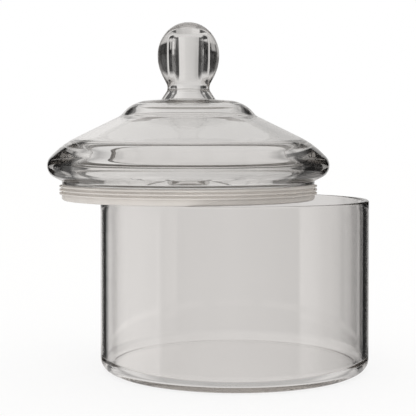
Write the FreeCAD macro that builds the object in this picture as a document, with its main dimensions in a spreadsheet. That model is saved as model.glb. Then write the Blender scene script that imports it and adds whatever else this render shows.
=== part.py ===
"""Round glass storage jar with its glass lid set ajar on the rim.

Three pieces: the jar, the hollow one-piece lid with its knob, and the clear silicone seal that is
stretched over the lid's collar. Each is a body of revolution: one closed sketch, turned once.

Frame: the origin is the centre of the jar's flat base, +Z is up. The lid is moved sideways along -X
and rests, level, with the flat of its seal on the jar's rim.
"""
import FreeCAD, Part
import math
import os

import Sketcher

doc = FreeCAD.newDocument("storage_jar")

# ---------------------------------------------------------------- driving dimensions, millimetres
SIZES = [
    # the jar
    ("jar_radius", 80.0, "outside of the jar's straight wall"),
    ("jar_height", 100.5, "base to rim"),
    ("jar_wall", 3.4, "thickness of the straight wall"),
    ("base_thickness", 3.6, "thickness of the floor"),
    ("heel_round", 6.9, "outer round between wall and base"),
    ("floor_round", 6.2, "inner round between wall and floor"),
    ("rim_round", 1.2, "fire-polished round on both edges of the rim"),
    # how the lid is set down
    ("lid_offset", 27.5, "how far the lid is set over to -X, off the jar's axis"),
    # the fit of the lid in the jar's mouth
    ("mouth_clearance", 1.3, "jar's mouth to the plain band of the seal, when closed"),
    ("fin_grip", 0.1, "how far the fins would press into the mouth, when closed"),
    # the seal, heights above its flat underside
    ("seal_height", 9.2, "height of the band"),
    ("seal_band", 2.7, "thickness of the band round the collar"),
    ("seal_foot", 1.6, "thickness of the foot turned in under the collar"),
    ("foot_reach", 5.0, "width of the flat foot that rests on the rim"),
    ("seal_corner", 1.3, "round at the band's lower edge"),
    ("seal_slack", 0.15, "gap between the band and the glass collar"),
    ("fin_count", 3, "grip fins round the band"),
    ("fin_first", 4.0, "height of the lowest fin's middle"),
    ("fin_pitch", 2.1, "fin to fin"),
    ("fin_root", 0.8, "fin thickness at the band"),
    ("fin_tip", 0.4, "fin thickness at its edge"),
    # the lid's outside, radii from its axis; each rise is counted from the height before it
    ("flange_gap", 0.3, "seal's top edge to the glass flange over it"),
    ("flange_depth", 1.7, "height of the flange, up to the underside of the brim"),
    ("brim_reach", 8.65, "how far the brim stands out past the seal's band"),
    ("brim_rise", 4.5, "flange to where brim's underside and side would meet"),
    ("brim_side", 7.9, "from there to where brim's side and upper slope would meet"),
    ("brim_round_low", 7.6, "round under the brim"),
    ("brim_round_top", 7.5, "round over the brim"),
    ("cone_inset", 9.95, "how far in from the brim its slope turns into the cone"),
    ("cone_rise", 9.9, "brim's side to that turn"),
    ("cone_round", 48.0, "gentle round of that turn"),
    ("cone_run", 33.7, "how far in the cone runs, measured level, to the foot of the step"),
    ("step_rise", 16.5, "that turn to the step's foot"),
    ("step_round", 7.0, "hollow round of the step"),
    ("disc_inset", 6.8, "how far in from the step its side and the top disc would meet"),
    ("disc_rise", 8.35, "step's foot to the disc at that radius"),
    ("disc_round", 19.5, "round of the disc's shoulder"),
    ("foot_radius", 16.5, "radius of the knob's foot on the disc"),
    ("foot_rise", 1.05, "how much the disc rises from its shoulder to the knob's foot"),
    ("foot_round", 1.2, "hollow round of the knob's foot"),
    ("neck_radius", 11.7, "radius where the two slopes of the neck would meet"),
    ("neck_rise", 7.0, "knob's foot to the neck"),
    ("neck_round", 5.1, "hollow round of the neck"),
    ("knob_radius", 18.43, "widest part of the knob"),
    ("knob_rise", 12.8, "neck to where the knob's underside and side would meet"),
    ("knob_round_low", 26.0, "round of the knob's underside"),
    ("knob_side", 16.6, "from there to where the knob's side and crown would meet"),
    ("knob_round_top", 20.4, "round of the knob's upper half"),
    ("crown_radius", 6.2, "radius where the crown's slope and its top would meet"),
    ("crown_rise", 9.9, "knob's side to the top of the knob"),
    ("crown_round", 16.8, "round of the crown"),
    # the lid's inside
    ("collar_wall", 2.65, "thickness of the glass collar inside the seal"),
    ("collar_round", 0.8, "round of the collar's lower edges"),
    ("cavity_round", 8.0, "inner round at the top of the collar's bore"),
    ("cone_wall", 5.5, "thickness of the cone, measured upright"),
    ("disc_glass", 3.7, "thickness of the disc, measured upright"),
    ("disc_wall", 3.0, "thickness of the step's side, measured level"),
    ("inner_step_round", 5.0, "inner round at the foot of the step"),
    ("inner_disc_round", 7.0, "inner round under the disc's shoulder"),
    ("bore_radius", 8.6, "bore that runs up into the knob"),
    ("bore_flare", 4.6, "how far the bore opens out below the neck"),
    ("bore_waist_round", 3.0, "round where the bore starts to open out"),
    ("bore_mouth_round", 2.0, "round where the bore meets the underside of the disc"),
    ("bore_round", 3.0, "round at the blind end of the bore"),
    ("crown_wall", 9.6, "solid glass over the blind end of the bore"),
]

sheet = doc.addObject("Spreadsheet::Sheet", "Sizes")
for row, (alias, value, meaning) in enumerate(SIZES, start=1):
    sheet.set(f"A{row}", meaning)
    sheet.set(f"B{row}", str(value))
    sheet.setAlias(f"B{row}", alias)
doc.recompute()

# ---------------------------------------------------------------- sizes worked out from those
# Each is an expression on the sheet, written once, so that pieces that fit share it.
MOUTH = "(Sizes.jar_radius - Sizes.jar_wall)"
BAND = f"({MOUTH} - Sizes.mouth_clearance)"
FIN_EDGE = f"({MOUTH} + Sizes.fin_grip)"
BAND_INSIDE = f"({BAND} - Sizes.seal_band)"
COLLAR = f"({BAND_INSIDE} - Sizes.seal_slack)"
FLANGE_FOOT = "(Sizes.seal_height + Sizes.flange_gap)"
FLANGE_TOP = f"({FLANGE_FOOT} + Sizes.flange_depth)"
CAVITY = f"({COLLAR} - Sizes.collar_wall)"
BRIM = f"({BAND} + Sizes.brim_reach)"
BRIM_UNDER = f"({FLANGE_TOP} + Sizes.brim_rise)"
BRIM_OVER = f"({BRIM_UNDER} + Sizes.brim_side)"
CONE = f"({BRIM} - Sizes.cone_inset)"
CONE_FOOT = f"({BRIM_OVER} + Sizes.cone_rise)"
STEP = f"({CONE} - Sizes.cone_run)"
STEP_FOOT = f"({CONE_FOOT} + Sizes.step_rise)"
DISC = f"({STEP} - Sizes.disc_inset)"
DISC_EDGE = f"({STEP_FOOT} + Sizes.disc_rise)"
KNOB_FOOT = f"({DISC_EDGE} + Sizes.foot_rise)"
NECK = f"({KNOB_FOOT} + Sizes.neck_rise)"
KNOB_UNDER = f"({NECK} + Sizes.knob_rise)"
KNOB_OVER = f"({KNOB_UNDER} + Sizes.knob_side)"
LID_TOP = f"({KNOB_OVER} + Sizes.crown_rise)"
CONE_SLOPE = "(Sizes.step_rise / Sizes.cone_run)"
INNER_STEP = f"({STEP} - Sizes.disc_wall)"
INNER_DISC = f"({DISC} - Sizes.disc_wall)"
UNDER_CONE = f"({CONE_SLOPE} * ({CONE} - {{radius}}) + {CONE_FOOT} - Sizes.cone_wall)"
UNDER_BRIM = UNDER_CONE.format(radius=CAVITY)
UNDER_STEP = UNDER_CONE.format(radius=INNER_STEP)
BORE_MOUTH = "(Sizes.bore_radius + Sizes.bore_flare)"


def plane_of(body, role):
    """The body's own origin plane with this role, such as XZ_Plane."""
    return next(plane for plane in body.Origin.OriginFeatures if plane.Role == role)


def new_body(label):
    """An empty body whose Label names its file."""
    body = doc.addObject("PartDesign::Body", label)
    body.Label = label
    return body


def outline_sketch(body, name, corners):
    """A closed outline on the body's XZ plane, as corners (radius, height, round or None).

    The three are expressions on the sheet. Every corner is held by its radius and height, and a
    rounded one gets an arc tangent to its two sides, so each value can change by itself.
    """
    sketch = body.newObject("Sketcher::SketchObject", name)
    sketch.AttachmentSupport = (plane_of(body, "XZ_Plane"), [""])
    sketch.MapMode = "FlatFace"

    def number(expression):
        return float(sketch.evalExpression(expression)) if expression else 0.0

    points = [FreeCAD.Vector(number(radius), number(height), 0) for radius, height, _ in corners]
    count = len(points)
    starts, ends = [], []
    for index, (point, corner) in enumerate(zip(points, corners)):
        back = (points[index - 1] - point).normalize()
        ahead = (points[(index + 1) % count] - point).normalize()
        reach = number(corner[2]) / math.tan(back.getAngle(ahead) / 2) if corner[2] else 0.0
        ends.append(point + back * reach)
        starts.append(point + ahead * reach)

    sides = []
    for index in range(count):
        segment = Part.LineSegment(starts[index], ends[(index + 1) % count])
        sides.append(sketch.addGeometry(segment, False))

    for index, (radius, height, rounding) in enumerate(corners):
        before, after = sides[index - 1], sides[index]
        if rounding:
            arc = sketch.addGeometry(corner_arc(points[index], ends[index], starts[index]), False)
            corner = sketch.addGeometry(Part.Point(points[index]), True)
            turned_left = (points[index] - ends[index]).cross(starts[index] - points[index]).z > 0
            first, last = (1, 2) if turned_left else (2, 1)
            sketch.addConstraint(Sketcher.Constraint("Tangent", before, 2, arc, first))
            sketch.addConstraint(Sketcher.Constraint("Tangent", arc, last, after, 1))
            sketch.addConstraint(Sketcher.Constraint("PointOnObject", corner, 1, before))
            sketch.addConstraint(Sketcher.Constraint("PointOnObject", corner, 1, after))
            hold(sketch, Sketcher.Constraint("Radius", arc, number(rounding)), rounding)
            held = (corner, 1)
        else:
            sketch.addConstraint(Sketcher.Constraint("Coincident", before, 2, after, 1))
            held = (after, 1)
        if radius == "0":
            sketch.addConstraint(Sketcher.Constraint("PointOnObject", *held, -2))
        else:
            level = Sketcher.Constraint("DistanceX", -1, 1, *held, points[index].x)
            hold(sketch, level, radius)
        if height == "0":
            sketch.addConstraint(Sketcher.Constraint("PointOnObject", *held, -1))
        else:
            upright = Sketcher.Constraint("DistanceY", -1, 1, *held, points[index].y)
            hold(sketch, upright, height)
    return sketch


def corner_arc(corner, tangent_in, tangent_out):
    """The arc that leaves one side at tangent_in and meets the next at tangent_out."""
    chord = (tangent_in + tangent_out) * 0.5 - corner
    reach = (tangent_in - corner).Length
    centre = corner + chord * (reach ** 2 / chord.Length ** 2)
    middle = centre - (chord * (1 / chord.Length)) * (centre - tangent_in).Length
    return Part.Arc(tangent_in, middle, tangent_out)


def hold(sketch, constraint, expression):
    """Adds a dimension and ties it to the sheet."""
    index = sketch.addConstraint(constraint)
    sketch.setExpression(f"Constraints[{index}]", expression)


def turn(body, name, sketch):
    """Turns a sketch once round the body's upright axis."""
    feature = body.newObject("PartDesign::Revolution", name)
    feature.Profile = sketch
    feature.ReferenceAxis = (sketch, ["V_Axis"])
    feature.Angle = 360
    sketch.Visibility = False
    return feature


# ---------------------------------------------------------------- the jar
# Straight thick wall, flat floor, rounded heel, and a rim with both edges fire-polished.
jar = new_body("jar")
jar_outline = outline_sketch(jar, "jar_outline", [
    ("0", "0", None),
    ("Sizes.jar_radius", "0", "Sizes.heel_round"),
    ("Sizes.jar_radius", "Sizes.jar_height", "Sizes.rim_round"),
    (MOUTH, "Sizes.jar_height", "Sizes.rim_round"),
    (MOUTH, "Sizes.base_thickness", "Sizes.floor_round"),
    ("0", "Sizes.base_thickness", None),
])
turn(jar, "jar_turned", jar_outline)

# ---------------------------------------------------------------- the lid
# Outside from the collar up over the brim, cone, step, disc, neck and knob, then the inside down
# from the blind end of the knob's bore to the collar again.
lid = new_body("lid")
lid_outline = outline_sketch(lid, "lid_outline", [
    (CAVITY, "Sizes.seal_foot", "Sizes.collar_round"),
    (COLLAR, "Sizes.seal_foot", "Sizes.collar_round"),
    (COLLAR, FLANGE_FOOT, None),
    (BAND, FLANGE_FOOT, None),
    (BAND, FLANGE_TOP, None),
    (BRIM, BRIM_UNDER, "Sizes.brim_round_low"),
    (BRIM, BRIM_OVER, "Sizes.brim_round_top"),
    (CONE, CONE_FOOT, "Sizes.cone_round"),
    (STEP, STEP_FOOT, "Sizes.step_round"),
    (DISC, DISC_EDGE, "Sizes.disc_round"),
    ("Sizes.foot_radius", KNOB_FOOT, "Sizes.foot_round"),
    ("Sizes.neck_radius", NECK, "Sizes.neck_round"),
    ("Sizes.knob_radius", KNOB_UNDER, "Sizes.knob_round_low"),
    ("Sizes.knob_radius", KNOB_OVER, "Sizes.knob_round_top"),
    ("Sizes.crown_radius", LID_TOP, "Sizes.crown_round"),
    ("0", LID_TOP, None),
    ("0", f"{LID_TOP} - Sizes.crown_wall", None),
    ("Sizes.bore_radius", f"{LID_TOP} - Sizes.crown_wall", "Sizes.bore_round"),
    ("Sizes.bore_radius", f"{NECK} - Sizes.disc_glass", "Sizes.bore_waist_round"),
    (BORE_MOUTH, f"{KNOB_FOOT} - Sizes.disc_glass", "Sizes.bore_mouth_round"),
    (INNER_DISC, f"{DISC_EDGE} - Sizes.disc_glass", "Sizes.inner_disc_round"),
    (INNER_STEP, UNDER_STEP, "Sizes.inner_step_round"),
    (CAVITY, UNDER_BRIM, "Sizes.cavity_round"),
])
turn(lid, "lid_turned", lid_outline)

# ---------------------------------------------------------------- the seal
# A band round the collar with a flat foot turned in under it, and thin fins that grip the mouth.
seal = new_body("seal")
FOOT_EDGE = f"({BAND} - Sizes.foot_reach)"
seal_outline = outline_sketch(seal, "seal_outline", [
    (FOOT_EDGE, "0", None),
    (BAND, "0", "Sizes.seal_corner"),
    (BAND, "Sizes.seal_height", None),
    (BAND_INSIDE, "Sizes.seal_height", None),
    (BAND_INSIDE, "Sizes.seal_foot", None),
    (FOOT_EDGE, "Sizes.seal_foot", None),
])
turn(seal, "seal_band_turned", seal_outline)

fin_outline = outline_sketch(seal, "fin_outline", [
    (f"{BAND} - Sizes.seal_band / 2", "Sizes.fin_first - Sizes.fin_root / 2", None),
    (BAND, "Sizes.fin_first - Sizes.fin_root / 2", None),
    (FIN_EDGE, "Sizes.fin_first - Sizes.fin_tip / 2", None),
    (FIN_EDGE, "Sizes.fin_first + Sizes.fin_tip / 2", None),
    (BAND, "Sizes.fin_first + Sizes.fin_root / 2", None),
    (f"{BAND} - Sizes.seal_band / 2", "Sizes.fin_first + Sizes.fin_root / 2", None),
])
fin = turn(seal, "fin_turned", fin_outline)

fins = seal.newObject("PartDesign::LinearPattern", "fins")
fins.Originals = [fin]
fins.Direction = (fin_outline, ["V_Axis"])
fins.Mode = "Spacing"
fins.setExpression("Occurrences", "Sizes.fin_count")
fins.setExpression("Offset", "Sizes.fin_pitch")
seal.Tip = fins

# ---------------------------------------------------------------- where the lid is set down
for piece in (lid, seal):
    piece.setExpression("Placement.Base.x", "-Sizes.lid_offset")
    piece.setExpression("Placement.Base.z", "Sizes.jar_height")

doc.recompute()

# ---------------------------------------------------------------- checks and files
for item in doc.Objects:
    if "Invalid" in item.State or "Error" in item.State:
        raise RuntimeError(f"{item.Name} failed: {item.State}")

os.makedirs("parts", exist_ok=True)
for piece in (jar, lid, seal):
    shape = piece.Shape
    if shape.isNull() or not shape.isValid() or len(shape.Solids) != 1:
        raise RuntimeError(f"{piece.Label} isn't one valid solid")
    shape.exportStep(f"parts/{piece.Label}.step")
    box = shape.BoundBox
    print(
        f"{piece.Label}: {shape.Volume / 1000:.1f} cm3,"
        f" x {box.XMin:.2f}..{box.XMax:.2f}, y {box.YMin:.2f}..{box.YMax:.2f},"
        f" z {box.ZMin:.2f}..{box.ZMax:.2f}"
    )
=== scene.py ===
# %% [markdown]
# # A round glass storage jar, open, with its lid set ajar
#
# The object has three pieces: a clear glass jar, a clear glass lid with a hollow knob, and a
# frosted silicone seal stretched round the lid's collar. Nearly all that one sees of clear glass
# is what stands round it, bent by the wall. So this lesson spends its care on two things: walls
# with a true inside and outside, and a studio whose lights and dark flags have a place.

import math

import bpy
import bmesh
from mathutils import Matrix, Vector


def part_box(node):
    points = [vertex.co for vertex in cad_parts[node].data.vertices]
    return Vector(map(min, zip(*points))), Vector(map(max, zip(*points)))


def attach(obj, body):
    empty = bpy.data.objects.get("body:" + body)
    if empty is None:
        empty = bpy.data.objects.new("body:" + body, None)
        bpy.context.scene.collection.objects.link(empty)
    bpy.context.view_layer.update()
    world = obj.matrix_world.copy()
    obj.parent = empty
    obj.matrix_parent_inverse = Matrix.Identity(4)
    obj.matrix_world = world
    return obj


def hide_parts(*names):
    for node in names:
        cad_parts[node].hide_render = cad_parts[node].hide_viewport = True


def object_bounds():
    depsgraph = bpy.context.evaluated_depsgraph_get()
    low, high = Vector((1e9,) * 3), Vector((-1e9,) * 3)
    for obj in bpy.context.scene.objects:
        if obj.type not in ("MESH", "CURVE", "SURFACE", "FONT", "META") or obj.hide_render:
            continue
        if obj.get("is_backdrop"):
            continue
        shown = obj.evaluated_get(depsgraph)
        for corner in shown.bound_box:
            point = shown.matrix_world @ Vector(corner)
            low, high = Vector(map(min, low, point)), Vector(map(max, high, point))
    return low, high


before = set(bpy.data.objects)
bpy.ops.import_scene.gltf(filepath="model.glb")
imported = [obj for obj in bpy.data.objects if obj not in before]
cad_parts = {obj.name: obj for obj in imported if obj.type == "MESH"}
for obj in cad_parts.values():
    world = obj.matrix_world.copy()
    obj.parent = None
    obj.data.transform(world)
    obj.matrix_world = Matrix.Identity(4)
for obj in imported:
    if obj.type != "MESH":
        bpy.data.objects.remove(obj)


def plain(box):
    """A box as plain lists of numbers."""
    return [[float(value) for value in corner] for corner in box]


cad_box = plain(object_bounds())
print("CAD box, metres:", cad_box)

# %% [markdown]
# ## Where the pieces stand
#
# The jar's axis is the frame's Z axis. The lid was moved sideways and set down on the rim, so its
# own axis is read from the box of its CAD solid, and its heights are counted from the flat
# underside of the seal, which lies on the rim. Reading both from the frame keeps the looks and
# the construction together if the lid is ever moved.

# %% Axes and levels from the frame
lid_low, lid_high = plain(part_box("lid"))
seal_low = plain(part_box("seal"))[0]
LID_X = (lid_low[0] + lid_high[0]) / 2
RIM = seal_low[2]
jar_low, jar_high = plain(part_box("jar"))
print(f"lid axis at x = {LID_X * 1000:.2f} mm, rim at z = {RIM * 1000:.2f} mm")
print(f"jar {1000 * (jar_high[0] - jar_low[0]):.1f} mm across, {1000 * jar_high[2]:.1f} mm tall")

# %% [markdown]
# ## Drawing an outline with rounds
#
# Glass that was blown or pressed in a mould is a body of revolution: one outline, turned round an
# axis. The outline is written as a glassmaker would give it, as corners (radius, height, round)
# in millimetres. Each rounded corner becomes an arc that touches both of its sides.
#
# A Bevel modifier could round the corners too, but it would put the same few faces on a 1 mm rim
# and on a 48 mm sweep. Working the arcs out keeps each one as smooth as its size asks.

# %% A rounded outline
MM = 0.001
ON_AXIS = 1e-6


def rounded_corner(before, corner, after, round_mm, degrees):
    """Points along the arc that touches both sides of a corner."""
    x, z = corner
    ax, az = before[0] - x, before[1] - z
    bx, bz = after[0] - x, after[1] - z
    a_length, b_length = math.hypot(ax, az), math.hypot(bx, bz)
    ax, az, bx, bz = ax / a_length, az / a_length, bx / b_length, bz / b_length
    opening = math.acos(max(-1.0, min(1.0, ax * bx + az * bz)))
    reach = round_mm / math.tan(opening / 2)
    middle = math.hypot(ax + bx, az + bz)
    away = round_mm / math.sin(opening / 2)
    cx, cz = x + (ax + bx) / middle * away, z + (az + bz) / middle * away
    first = math.atan2(z + az * reach - cz, x + ax * reach - cx)
    last = math.atan2(z + bz * reach - cz, x + bx * reach - cx)
    sweep = (last - first + math.pi) % (2 * math.pi) - math.pi
    steps = max(3, int(abs(math.degrees(sweep)) / degrees) + 1)
    angles = [first + sweep * step / steps for step in range(steps + 1)]
    return [(cx + round_mm * math.cos(a), cz + round_mm * math.sin(a)) for a in angles]


SMALL_ROUND = 2


def outline(corners, degrees=5.0, longest=5.0):
    """The whole outline. Long straight runs are divided, so that smooth shading stays true, and
    small rounds get half as many points, so that no piece has more faces than it needs."""
    drawn = []
    for index, (radius, height, round_mm) in enumerate(corners):
        before, after = corners[index - 1], corners[(index + 1) % len(corners)]
        if round_mm:
            finest = degrees if round_mm > SMALL_ROUND else 2 * degrees
            drawn += rounded_corner(before, (radius, height), after, round_mm, finest)
        else:
            drawn.append((radius, height))
    points = []
    for index, (r, z) in enumerate(drawn):
        r_next, z_next = drawn[(index + 1) % len(drawn)]
        points.append((r, z))
        if r < ON_AXIS and r_next < ON_AXIS:
            continue
        parts = int(math.hypot(r_next - r, z_next - z) / longest)
        for part in range(1, parts + 1):
            share = part / (parts + 1)
            points.append((r + (r_next - r) * share, z + (z_next - z) * share))
    return points


print("a 5 mm round on a square corner:", len(outline([(0, 0, 0), (9, 0, 5), (9, 9, 0)])), "points")

# %% [markdown]
# ## Turning it
#
# A Screw modifier would turn the outline, but it leaves a seam and doubled points on the axis,
# and in clear glass any such flaw is seen from every side. So the rings are joined by hand: a
# point on the axis is one shared vertex, every other point is a ring, and the last ring joins the
# first. The result is one closed wall with its normals outwards, which is what a glass shader
# needs to know where the light enters and leaves.

# %% Turn an outline into a closed piece
ROUND_STEPS = 384


def turned(name, points, axis_x=0.0, base_z=0.0):
    """A closed body of revolution, its place in its mesh and its object at the origin."""
    vertices, rings = [], []
    for radius, height in points:
        z = base_z + height * MM
        if radius < ON_AXIS:
            rings.append([len(vertices)])
            vertices.append((axis_x, 0.0, z))
            continue
        rings.append(list(range(len(vertices), len(vertices) + ROUND_STEPS)))
        for step in range(ROUND_STEPS):
            angle = 2 * math.pi * step / ROUND_STEPS
            x, y = radius * MM * math.cos(angle), radius * MM * math.sin(angle)
            vertices.append((axis_x + x, y, z))
    faces = []
    for index, ring in enumerate(rings):
        ahead = rings[(index + 1) % len(rings)]
        if len(ring) == 1 and len(ahead) == 1:
            continue
        for step in range(ROUND_STEPS):
            after = (step + 1) % ROUND_STEPS
            if len(ring) == 1:
                faces.append((ring[0], ahead[after], ahead[step]))
            elif len(ahead) == 1:
                faces.append((ring[step], ring[after], ahead[0]))
            else:
                faces.append((ring[step], ring[after], ahead[after], ahead[step]))
    mesh = bpy.data.meshes.new(name)
    mesh.from_pydata(vertices, [], faces)
    shell = bmesh.new()
    shell.from_mesh(mesh)
    bmesh.ops.recalc_face_normals(shell, faces=shell.faces)
    volume = shell.calc_volume(signed=True)
    shell.to_mesh(mesh)
    shell.free()
    mesh.shade_smooth()
    mesh.set_sharp_from_angle(angle=math.radians(50))
    piece = bpy.data.objects.new(name, mesh)
    bpy.context.scene.collection.objects.link(piece)
    print(f"{name}: {len(mesh.polygons)} faces, {volume * 1e6:.1f} cm3 of wall")
    return piece


# %% [markdown]
# ## The jar
#
# A low, wide jar: a straight thick wall, a flat floor, a rounded heel, and a rim whose two edges
# were melted round with a flame. The inner floor meets the wall in a wide hollow round. That
# round is the grey ring one sees across the bottom of such a jar, so its size matters as much as
# the outline does.

# %% Turn the jar
JAR_RADIUS = 80.0
JAR_HEIGHT = 100.5
JAR_WALL = 3.4
JAR_FLOOR = 3.6
JAR_HEEL = 6.9
JAR_HOLLOW = 6.2
RIM_ROUND = 1.2
MOUTH = JAR_RADIUS - JAR_WALL

jar_glass = turned("jar_glass", outline([
    (0, 0, 0),
    (JAR_RADIUS, 0, JAR_HEEL),
    (JAR_RADIUS, JAR_HEIGHT, RIM_ROUND),
    (MOUTH, JAR_HEIGHT, RIM_ROUND),
    (MOUTH, JAR_FLOOR, JAR_HOLLOW),
    (0, JAR_FLOOR, 0),
]))

# %% [markdown]
# ## The lid
#
# The lid is one piece of glass with a real inside. From the collar it swells to a thick brim,
# runs up a shallow cone, steps up to a disc, and ends in a neck and an egg-shaped knob. A bore
# runs up into the knob. Modelled solid, the knob would be a single lens; it is the bore that
# draws the bright and dark stripes in it.
#
# The outline goes up the outside and comes down the inside.

# %% Turn the lid
BAND = MOUTH - 1.3
BAND_GLASS_GAP = 0.15
BAND_WALL = 2.7
COLLAR = BAND - BAND_WALL - BAND_GLASS_GAP
COLLAR_FOOT = 1.6
COLLAR_TOP = 9.5
CAVITY = 69.8
BRIM = 83.95
CONE_FOOT = (74.0, 33.5)
CONE_TOP = (40.3, 50.0)
DISC_EDGE = (33.5, 58.35)
DISC_TOP = (16.5, 59.4)
NECK = (11.7, 66.4)
KNOB = 18.43
LID_TOP = 105.7
CONE_SLOPE = (CONE_TOP[1] - CONE_FOOT[1]) / (CONE_FOOT[0] - CONE_TOP[0])
CONE_WALL = 5.5
CONE_INNER_TOP = 37.3
DISC_GLASS = 3.7
BORE = 8.6
BORE_FLARE = 4.6
BORE_ROUND = 3.0
CROWN_WALL = 9.6


def under_cone(radius):
    """Height of the cone's inner face at this radius."""
    return CONE_SLOPE * (CONE_FOOT[0] - radius) + CONE_FOOT[1] - CONE_WALL


lid_outside = [
    (CAVITY, COLLAR_FOOT, 0.8),
    (COLLAR, COLLAR_FOOT, 0.8),
    (COLLAR, COLLAR_TOP, 0.3),
    (BAND, COLLAR_TOP, 0.4),
    (BAND, 11.2, 0.6),
    (BRIM, 15.7, 7.6),
    (BRIM, 23.6, 7.5),
    (*CONE_FOOT, 48.0),
    (*CONE_TOP, 7.0),
    (*DISC_EDGE, 19.5),
    (*DISC_TOP, 1.2),
    (*NECK, 5.1),
    (KNOB, 79.2, 26.0),
    (KNOB, 95.8, 20.4),
    (6.2, LID_TOP, 16.8),
    (0, LID_TOP, 0),
]
lid_inside = [
    (0, LID_TOP - CROWN_WALL, 0),
    (BORE, LID_TOP - CROWN_WALL, BORE_ROUND),
    (BORE, NECK[1] - DISC_GLASS, BORE_ROUND),
    (BORE + BORE_FLARE, DISC_TOP[1] - DISC_GLASS, 2.0),
    (30.5, DISC_EDGE[1] - DISC_GLASS, 7.0),
    (CONE_INNER_TOP, under_cone(CONE_INNER_TOP), 5.0),
    (CAVITY, under_cone(CAVITY), 8.0),
]
lid_glass = turned("lid_glass", outline(lid_outside + lid_inside), LID_X, RIM)

# %% [markdown]
# ## The seal's band
#
# The seal is a soft ring: a band round the outside of the glass collar and a flat foot turned in
# under it, which is what the lid stands on here. The band is turned like the glass. It keeps a
# hair's breadth off the collar and the rim, so that no two faces share one place.

# %% Turn the band
SEAL_HEIGHT = 9.2
FOOT_REACH = 5.0
FOOT_THICK = 1.57
OFF_RIM = 0.02

seal = turned("seal_ring", outline([
    (BAND - FOOT_REACH, OFF_RIM, 0.3),
    (BAND, OFF_RIM, 1.3),
    (BAND, SEAL_HEIGHT, 0.4),
    (BAND - BAND_WALL, SEAL_HEIGHT, 0.3),
    (BAND - BAND_WALL, FOOT_THICK, 0.2),
    (BAND - FOOT_REACH, FOOT_THICK, 0.3),
], degrees=8, longest=3.0), LID_X, RIM)

# %% [markdown]
# ## The fins
#
# Three thin lips stand out from the band, equally spaced, and bend against the jar's mouth when
# the lid is pushed in. They repeat by a rule, so they are made with Geometry Nodes: one tapered
# fin is swept round a circle, and a line of points says how many there are and how far apart.
# Changing the number or the pitch is then one value, not a new outline.
#
# The tree takes the band in, adds the fins, makes the copies real and gives the whole one
# material.

# %% Build the tree of fins
FIN_TURN = math.radians(90)


def fin_tree():
    """Adds evenly spaced tapered lips round a band."""
    tree = bpy.data.node_groups.new("seal_fins", "GeometryNodeTree")
    socket = tree.interface.new_socket
    socket("Band", in_out="INPUT", socket_type="NodeSocketGeometry")
    for name in ("Band Radius", "Axis X", "First Height", "Pitch", "Root", "Tip", "Reach"):
        socket(name, in_out="INPUT", socket_type="NodeSocketFloat")
    socket("Fins", in_out="INPUT", socket_type="NodeSocketInt")
    socket("Silicone", in_out="INPUT", socket_type="NodeSocketMaterial")
    socket("Seal", in_out="OUTPUT", socket_type="NodeSocketGeometry")
    given = tree.nodes.new("NodeGroupInput").outputs

    def node(kind, **values):
        """A node with these inputs, each a number or another node's output."""
        made = tree.nodes.new(kind)
        for name, value in values.items():
            target = made.inputs[name.replace("_", " ")]
            if isinstance(value, bpy.types.NodeSocket):
                tree.links.new(value, target)
            else:
                target.default_value = value
        return made

    ring = node("GeometryNodeCurvePrimitiveCircle", Resolution=ROUND_STEPS,
                Radius=given["Band Radius"])
    section = tree.nodes.new("GeometryNodeCurvePrimitiveQuadrilateral")
    section.mode = "TRAPEZOID"
    for name, source in (("Bottom Width", "Root"), ("Top Width", "Tip"), ("Height", "Reach")):
        tree.links.new(given[source], section.inputs[name])
    section.inputs["Offset"].default_value = 0.0
    turned_section = node("GeometryNodeTransform", Geometry=section.outputs["Curve"],
                          Rotation=(0.0, 0.0, FIN_TURN))
    fin = node("GeometryNodeCurveToMesh", Curve=ring.outputs["Curve"],
               Profile_Curve=turned_section.outputs["Geometry"])
    start = node("ShaderNodeCombineXYZ", X=given["Axis X"], Y=0.0, Z=given["First Height"])
    step = node("ShaderNodeCombineXYZ", X=0.0, Y=0.0, Z=given["Pitch"])
    line = node("GeometryNodeMeshLine", Count=given["Fins"], Start_Location=start.outputs[0],
                Offset=step.outputs[0])
    copies = node("GeometryNodeInstanceOnPoints", Points=line.outputs["Mesh"],
                  Instance=fin.outputs["Mesh"])
    real = node("GeometryNodeRealizeInstances", Geometry=copies.outputs["Instances"])
    joined = tree.nodes.new("GeometryNodeJoinGeometry")
    tree.links.new(real.outputs["Geometry"], joined.inputs["Geometry"])
    tree.links.new(given["Band"], joined.inputs["Geometry"])
    finished = node("GeometryNodeSetMaterial", Geometry=joined.outputs["Geometry"],
                    Material=given["Silicone"])
    out = tree.nodes.new("NodeGroupOutput")
    tree.links.new(finished.outputs["Geometry"], out.inputs["Seal"])
    return tree


seal_fins = fin_tree()
print("fin tree:", len(seal_fins.nodes), "nodes")

# %% [markdown]
# ## Clear glass
#
# Soda-lime glass is almost colourless, with a breath of warm grey in a thick wall. Glass BSDF
# would do, but Principled with full Transmission is the one that other programs read, so the part
# keeps its look there. The roughness and the index of refraction are plain numbers on the
# shader's own sockets.
#
# The glass also takes a little light along the way, through Volume Absorption. A straight look
# through a 3 mm wall loses about one percent. Inside the thick brim light is mirrored back and
# forth over many centimetres before it comes out, and that is what makes the ends of a heavy
# glass brim dark and calm. Without it they glitter.
#
# A real wall is never perfectly even. Drawn glass has faint upright streaks and pressed glass a
# slow wave, so a very weak bump bends the light a little, and a slow noise shifts the tint by a
# percent. Both are far too weak to be seen as a pattern.

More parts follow.
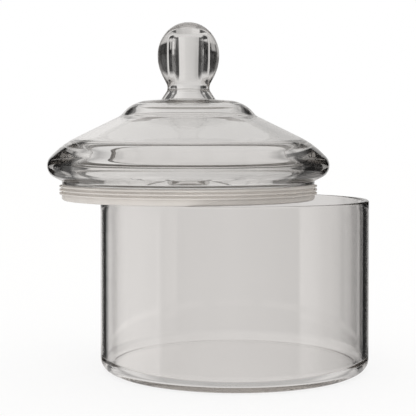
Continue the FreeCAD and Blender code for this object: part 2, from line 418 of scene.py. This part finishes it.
# %% A glass for each piece
def soft_tint(nodes, links, place, scale, detail, pale, dark):
    """A slow blotch between two near colours."""
    noise = nodes.new("ShaderNodeTexNoise")
    noise.inputs["Scale"].default_value = scale
    noise.inputs["Detail"].default_value = detail
    links.new(place, noise.inputs["Vector"])
    ramp = nodes.new("ShaderNodeValToRGB")
    ramp.color_ramp.elements[0].position = 0.35
    ramp.color_ramp.elements[1].position = 0.65
    ramp.color_ramp.elements[0].color = (*dark, 1)
    ramp.color_ramp.elements[1].color = (*pale, 1)
    links.new(noise.outputs["Fac"], ramp.inputs["Fac"])
    return ramp.outputs["Color"]


def clear_glass(name, pale, dark, taken, stretch, wave):
    """Polished glass with a breath of tint and a very weak waviness."""
    material = bpy.data.materials.new(name)
    material.use_nodes = True
    nodes, links = material.node_tree.nodes, material.node_tree.links
    glass = nodes["Principled BSDF"]
    glass.inputs["Transmission Weight"].default_value = 1.0
    glass.inputs["Roughness"].default_value = 0.0
    glass.inputs["IOR"].default_value = 1.5
    where = nodes.new("ShaderNodeTexCoord")
    stretched = nodes.new("ShaderNodeMapping")
    stretched.inputs["Scale"].default_value = stretch
    links.new(where.outputs["Object"], stretched.inputs["Vector"])
    depth = nodes.new("ShaderNodeVolumeAbsorption")
    depth.inputs["Density"].default_value = max(taken)
    depth.inputs["Color"].default_value = (*[1 - part / max(taken) for part in taken], 1)
    links.new(depth.outputs["Volume"], nodes["Material Output"].inputs["Volume"])
    tint = soft_tint(nodes, links, where.outputs["Object"], 14.0, 2.0, pale, dark)
    links.new(tint, glass.inputs["Base Color"])
    streaks = nodes.new("ShaderNodeTexNoise")
    streaks.inputs["Scale"].default_value = 1.0
    streaks.inputs["Detail"].default_value = 1.0
    links.new(stretched.outputs["Vector"], streaks.inputs["Vector"])
    bump = nodes.new("ShaderNodeBump")
    bump.inputs["Strength"].default_value = 1.0
    bump.inputs["Distance"].default_value = wave
    links.new(streaks.outputs["Fac"], bump.inputs["Height"])
    links.new(bump.outputs["Normal"], glass.inputs["Normal"])
    return material


drawn_glass = clear_glass(
    "drawn_glass", (0.97, 0.961, 0.955), (0.96, 0.951, 0.945), (3.0, 3.3, 3.6),
    (70.0, 70.0, 3.0), 0.000006
)
pressed_glass = clear_glass(
    "pressed_glass", (1.0, 0.998, 0.995), (0.992, 0.99, 0.987), (7.0, 7.4, 7.8),
    (30.0, 30.0, 30.0), 0.000003
)
jar_glass.data.materials.append(drawn_glass)
lid_glass.data.materials.append(pressed_glass)
print("glasses:", drawn_glass.name, pressed_glass.name)

# %% [markdown]
# ## Frosted silicone
#
# The seal is clear silicone rubber. It is milky rather than transparent: light goes in, scatters
# and comes out everywhere, so it glows evenly and its far side can't be seen. Part of the light
# goes through a rough transmission and the rest scatters on a pale surface. Handled rubber is a
# little uneven, which a fine noise gives to its colour and roughness.

# %% The silicone
def frosted_silicone(name):
    """Milky rubber that lets a part of the light through."""
    material = bpy.data.materials.new(name)
    material.use_nodes = True
    nodes, links = material.node_tree.nodes, material.node_tree.links
    rubber = nodes["Principled BSDF"]
    rubber.inputs["IOR"].default_value = 1.41
    rubber.inputs["Transmission Weight"].default_value = 0.2
    where = nodes.new("ShaderNodeTexCoord").outputs["Object"]
    colour = soft_tint(
        nodes, links, where, 45.0, 3.0, (0.87, 0.83, 0.785), (0.81, 0.77, 0.725)
    )
    links.new(colour, rubber.inputs["Base Color"])
    grain = nodes.new("ShaderNodeTexNoise")
    grain.inputs["Scale"].default_value = 900.0
    grain.inputs["Detail"].default_value = 2.0
    links.new(where, grain.inputs["Vector"])
    spread = nodes.new("ShaderNodeMapRange")
    spread.inputs["To Min"].default_value = 0.38
    spread.inputs["To Max"].default_value = 0.52
    links.new(grain.outputs["Fac"], spread.inputs["Value"])
    links.new(spread.outputs["Result"], rubber.inputs["Roughness"])
    bump = nodes.new("ShaderNodeBump")
    bump.inputs["Strength"].default_value = 0.15
    bump.inputs["Distance"].default_value = 0.0001
    links.new(grain.outputs["Fac"], bump.inputs["Height"])
    links.new(bump.outputs["Normal"], rubber.inputs["Normal"])
    return material


silicone = frosted_silicone("frosted_silicone")
seal.data.materials.append(silicone)

# %% [markdown]
# ## Putting the fins on the band
#
# The modifier's inputs are set by each socket's identifier before the band is first evaluated.
# The evaluated result is then copied out as a plain mesh and the modifier is taken off, because
# the exported part has no modifiers. The fins' roots reach 0.3 mm into the band, so no gap shows.

# %% Apply the fins
def apply_tree(piece, tree, values):
    """Runs a tree on a piece and keeps the result as its plain mesh."""
    modifier = piece.modifiers.new(tree.name, "NODES")
    modifier.node_group = tree
    for item in tree.interface.items_tree:
        if item.item_type == "SOCKET" and item.in_out == "INPUT" and item.name in values:
            modifier[item.identifier] = values[item.name]
    evaluated = piece.evaluated_get(bpy.context.evaluated_depsgraph_get())
    mesh = bpy.data.meshes.new_from_object(evaluated)
    piece.modifiers.remove(modifier)
    piece.data = mesh
    return mesh


FIN_LENGTH = 1.7
FIN_CENTRE = 0.55
seal_mesh = apply_tree(seal, seal_fins, {
    "Band Radius": (BAND + FIN_CENTRE) * MM,
    "Axis X": LID_X,
    "First Height": RIM + 4.0 * MM,
    "Pitch": 2.1 * MM,
    "Root": 0.8 * MM,
    "Tip": 0.4 * MM,
    "Reach": FIN_LENGTH * MM,
    "Fins": 3,
    "Silicone": silicone,
})
seal_mesh.shade_smooth()
seal_mesh.set_sharp_from_angle(angle=math.radians(35))
for corner in range(3):
    values = [vertex.co[corner] * 1000 for vertex in seal_mesh.vertices]
    print(f"seal along {'XYZ'[corner]}: {min(values):.2f} to {max(values):.2f} mm")

# %% [markdown]
# ## Hand the pieces to the frame
#
# Each piece stands for its CAD solid. Nothing here moves, and the lid only rests on the rim, so
# all three ride on the one body.

# %% Ride and replace
for piece, node_name, slot_name in (
    (jar_glass, "jar", "jar_glass"),
    (lid_glass, "lid", "lid_glass"),
    (seal, "seal", "seal_silicone"),
):
    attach(piece, "root")
    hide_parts(node_name)
    print(piece.name, "stands for", node_name)

# %% [markdown]
# ## The floor
#
# The jar stands on a wide white table that runs into the backdrop without an edge. To the camera
# it is white all over, apart from the soft shade that the object leaves on it. Glass must not see
# this white from all sides, or its edges would vanish, so rays that have passed through glass or
# been mirrored in it go on to the studio round the table, whose own lower part is the pale table.

# %% A floor that keeps the shadow
TABLE_SIDES = 96
TABLE_RADIUS = 6.0
UNDER_JAR = -0.0002
OWN_GLOW = 0.82


def white_table(size):
    """A round white table top, a hair under the jar."""
    mesh = bpy.data.meshes.new("table")
    ring = [2 * math.pi * step / TABLE_SIDES for step in range(TABLE_SIDES)]
    vertices = [(size * math.cos(a), size * math.sin(a), UNDER_JAR) for a in ring]
    mesh.from_pydata(vertices, [], [tuple(range(TABLE_SIDES))])
    table = bpy.data.objects.new("table", mesh)
    bpy.context.scene.collection.objects.link(table)

    material = bpy.data.materials.new("white_table")
    material.use_nodes = True
    nodes, links = material.node_tree.nodes, material.node_tree.links
    nodes.clear()
    shade = nodes.new("ShaderNodeBsdfDiffuse")
    shade.inputs["Color"].default_value = (1, 1, 1, 1)
    glow = nodes.new("ShaderNodeEmission")
    glow.inputs["Strength"].default_value = 1.0
    surface = nodes.new("ShaderNodeMixShader")
    surface.inputs["Fac"].default_value = OWN_GLOW
    links.new(shade.outputs[0], surface.inputs[1])
    links.new(glow.outputs[0], surface.inputs[2])
    path = nodes.new("ShaderNodeLightPath")
    bent = nodes.new("ShaderNodeMath")
    bent.operation = "MAXIMUM"
    links.new(path.outputs["Is Transmission Ray"], bent.inputs[0])
    links.new(path.outputs["Is Glossy Ray"], bent.inputs[1])
    through = nodes.new("ShaderNodeBsdfTransparent")
    choice = nodes.new("ShaderNodeMixShader")
    links.new(bent.outputs[0], choice.inputs["Fac"])
    links.new(surface.outputs[0], choice.inputs[1])
    links.new(through.outputs[0], choice.inputs[2])
    out = nodes.new("ShaderNodeOutputMaterial")
    links.new(choice.outputs[0], out.inputs["Surface"])
    mesh.materials.append(material)
    return table


floor = white_table(TABLE_RADIUS)
floor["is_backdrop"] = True
print("floor is", floor.name, "and isn't part of the object")

# %% [markdown]
# ## The studio
#
# Glass is lit by what it bends and mirrors. Photographers use a bright field: a lit backdrop just
# wider than the object, black flags beside it, and soft boxes to the sides. Straight through the
# wall one sees the bright field; near the edges the glass bends the view outwards to the flags,
# and that draws the dark outline.
#
# Lamps and cards could be modelled, but the world can hold the whole studio: a level for every
# direction round the table. It depends only on the direction, so it stays put when the camera
# moves. The field and its flags are set for the front view. Towards the back the levels change
# more softly, so from there the glass is a little greyer and its outline fainter. Matt surfaces
# are lit by a plain even dome at a level of about 1, at which a colour renders as it is written.
#
# The walls bend the view up and down as well as sideways, so one ring of levels isn't enough.
# Four rings lie above each other, high, level, low and table, and pass softly into the next one.
# Each is a list of stops: the direction in degrees, and the level there. The field behind the
# object is the same on all of the upper three. It is left grey, about 0.7, because the glass has
# to stand out from a backdrop that the camera sees as white. Near-black flags lie on both sides
# of it. The two sides aren't quite alike, as the light in a real room isn't.

# %% Levels round the table
FIELD = [
    (-19, 0.87), (-8, 0.84), (-4, 0.73), (2, 0.68), (7, 0.675), (14, 0.55), (19, 0.58),
]
HIGH_RING = [
    (-180, 0.6), (-150, 0.5), (-129, 0.25), (-117, 0.2), (-62, 0.2), (-56, 0.02),
    (-20.5, 0.02), *FIELD, (20.5, 0.02), (66, 0.02), (74, 0.2), (117, 0.2), (129, 0.25),
    (150, 0.5), (180, 0.6),
]
LEVEL_RING = [
    (-180, 0.65), (-150, 0.55), (-129, 0.3), (-115, 0.35), (-112, 0.7), (-68, 0.7), (-62, 0.3),
    (-56, 0.02), (-24, 0.01), (-20.5, 0.02), *FIELD, (20.5, 0.02), (24, 0.01), (66, 0.02),
    (72, 0.5), (108, 0.55), (117, 0.9), (124, 0.9), (127, 0.3), (150, 0.55), (180, 0.65),
]
LOW_RING = [
    (-180, 0.6), (-150, 0.5), (-129, 0.32), (-115, 0.32), (-113, 1.2), (-107, 1.0),
    (-75, 0.9), (-62, 0.6), (-56, 0.02), (-51, 0.5), (-40, 0.5), (-36, 0.02), (-20.5, 0.02), *FIELD,
    (20.5, 0.02), (66, 0.02), (76, 0.2), (100, 0.3), (116, 0.9), (124, 1.0), (126, 0.34),
    (135, 0.45), (150, 0.5), (180, 0.6),
]
TABLE_RING = []
for eighth in range(-4, 4):
    start = eighth * 45
    TABLE_RING += [(start + 14, 0.73), (start + 22.5, 0.4), (start + 31, 0.73)]

# Each lower ring: its name, its stops, the height in degrees where it starts, and how softly.
LOWER_RINGS = [
    ("level", LEVEL_RING, 5.0, 2.0),
    ("low", LOW_RING, -2.0, 3.0),
    ("table", TABLE_RING, -13.5, 4.0),
]
UNDER_TABLE, UNDER_TABLE_SOFT, UNDER_TABLE_LEVEL = -42.0, 12.0, 0.5
CEILING, CEILING_SOFT, CEILING_LEVEL = 25.0, 9.0, 0.75
CAMERA_WHITE = (1, 1, 1, 1)
print(len(HIGH_RING), len(LEVEL_RING), len(LOW_RING), len(TABLE_RING), "stops")


def warm(level):
    """The studio's faintly warm light at a level."""
    return (level, level * 0.985, level * 0.97, 1)


def ring_of_light(nodes, name, turn_share, stops):
    """A ramp round the horizon: degrees from +Y towards +X, and a level for each."""
    ramp = nodes.new("ShaderNodeValToRGB")
    ramp.label = name
    band = ramp.color_ramp
    while len(band.elements) > 1:
        band.elements.remove(band.elements[0])
    for index, (degrees, level) in enumerate(stops):
        place = (degrees + 180) / 360
        stop = band.elements[0] if index == 0 else band.elements.new(place)
        stop.position = place
        stop.color = warm(level)
    ramp.id_data.links.new(turn_share, ramp.inputs["Fac"])
    return ramp.outputs["Color"]


# %% Build the world
def studio():
    """The light round the object, by direction."""
    world = bpy.data.worlds.new("studio")
    world.use_nodes = True
    bpy.context.scene.world = world
    tree = world.node_tree
    nodes, links = tree.nodes, tree.links

    def sum_of(kind, first, second=0.0, third=None, clamp=False):
        """One step of arithmetic on numbers or sockets."""
        step = nodes.new("ShaderNodeMath")
        step.operation = kind
        step.use_clamp = clamp
        for slot_number, value in enumerate((first, second, third)):
            if isinstance(value, bpy.types.NodeSocket):
                links.new(value, step.inputs[slot_number])
            elif value is not None:
                step.inputs[slot_number].default_value = value
        return step.outputs[0]

    def blend(share, first, second):
        """One colour passing into another."""
        mixed = nodes.new("ShaderNodeMix")
        mixed.data_type = "RGBA"
        links.new(share, mixed.inputs["Factor"])
        for value, socket in ((first, mixed.inputs[6]), (second, mixed.inputs[7])):
            if isinstance(value, bpy.types.NodeSocket):
                links.new(value, socket)
            else:
                socket.default_value = value
        return mixed.outputs[2]

    direction = nodes.new("ShaderNodeTexCoord").outputs["Generated"]
    parts = nodes.new("ShaderNodeSeparateXYZ")
    links.new(direction, parts.inputs[0])
    turn = sum_of("ARCTAN2", parts.outputs["X"], parts.outputs["Y"])
    turn_share = sum_of("MULTIPLY_ADD", turn, 0.5 / math.pi, 0.5)
    height = sum_of("MULTIPLY", sum_of("ARCSINE", parts.outputs["Z"]), 180 / math.pi)

    def below(degrees, width):
        """0 above this height, 1 a little under it."""
        drop = sum_of("SUBTRACT", degrees, height)
        return sum_of("DIVIDE", drop, width, clamp=True)

    seen = ring_of_light(nodes, "high", turn_share, HIGH_RING)
    for name, stops, start, softness in LOWER_RINGS:
        ring = ring_of_light(nodes, name, turn_share, stops)
        seen = blend(below(start, softness), seen, ring)
    seen = blend(below(UNDER_TABLE, UNDER_TABLE_SOFT), seen, warm(UNDER_TABLE_LEVEL))
    over = sum_of("SUBTRACT", height, CEILING)
    seen = blend(sum_of("DIVIDE", over, CEILING_SOFT, clamp=True), seen, warm(CEILING_LEVEL))

    path = nodes.new("ShaderNodeLightPath")
    bent = sum_of("MAXIMUM", path.outputs["Is Transmission Ray"], path.outputs["Is Glossy Ray"])
    lit = blend(bent, warm(1.0), seen)
    white = blend(path.outputs["Is Camera Ray"], lit, CAMERA_WHITE)
    background = nodes["Background"]
    links.new(white, background.inputs["Color"])
    background.inputs["Strength"].default_value = 1.0
    return world


print("studio:", len(studio().node_tree.nodes), "nodes")

# %% [markdown]
# ## The camera
#
# The picture was taken from a little above the rim, close to the middle of the object. The lens
# is long for the distance, so the ellipses of the rim and base stay flat. The camera looks
# slightly down, and a small shift of the lens frames the object.

# %% Set up the camera
LOOKS_DOWN = 1.389
camera_data = bpy.data.cameras.new("camera")
camera = bpy.data.objects.new("camera", camera_data)
bpy.context.scene.collection.objects.link(camera)
camera_data.sensor_width = 36.0
camera_data.lens = 99.65
camera_data.shift_y = -0.1031
camera_data.clip_start = 0.01
camera.location = (-0.0158, -0.6895, 0.1376)
camera.rotation_euler = (math.radians(90 - LOOKS_DOWN), 0.0, 0.0)
bpy.context.scene.camera = camera
print("camera at", tuple(round(value, 4) for value in camera.location))

# %% [markdown]
# ## Render settings that belong to the look
#
# A ray that enters the lid passes up to four walls and may be mirrored many times inside the
# brim. With Blender's usual twelve bounces those rays would end black, so more are allowed. Each
# total reflection inside the glass counts as a glossy bounce, so that limit has to be as high as
# the one for transmission.

# %% Colour and bounces
scene = bpy.context.scene
scene.view_settings.view_transform = "Standard"
BOUNCES = 96
scene.cycles.max_bounces = BOUNCES
scene.cycles.transmission_bounces = BOUNCES
scene.cycles.glossy_bounces = BOUNCES
scene.cycles.transparent_max_bounces = 24

# %% [markdown]
# ## Check the size and finish
#
# Both boxes are printed side by side, so that any change that the looks make to the size of the
# part shows.

# %% Write the sizes and finish
visual_box = plain(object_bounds())
for axis in range(3):
    low = (visual_box[0][axis] - cad_box[0][axis]) * 1000
    high = (visual_box[1][axis] - cad_box[1][axis]) * 1000
    print(f"{'XYZ'[axis]}: visual less CAD, low {low:+.3f} mm, high {high:+.3f} mm")
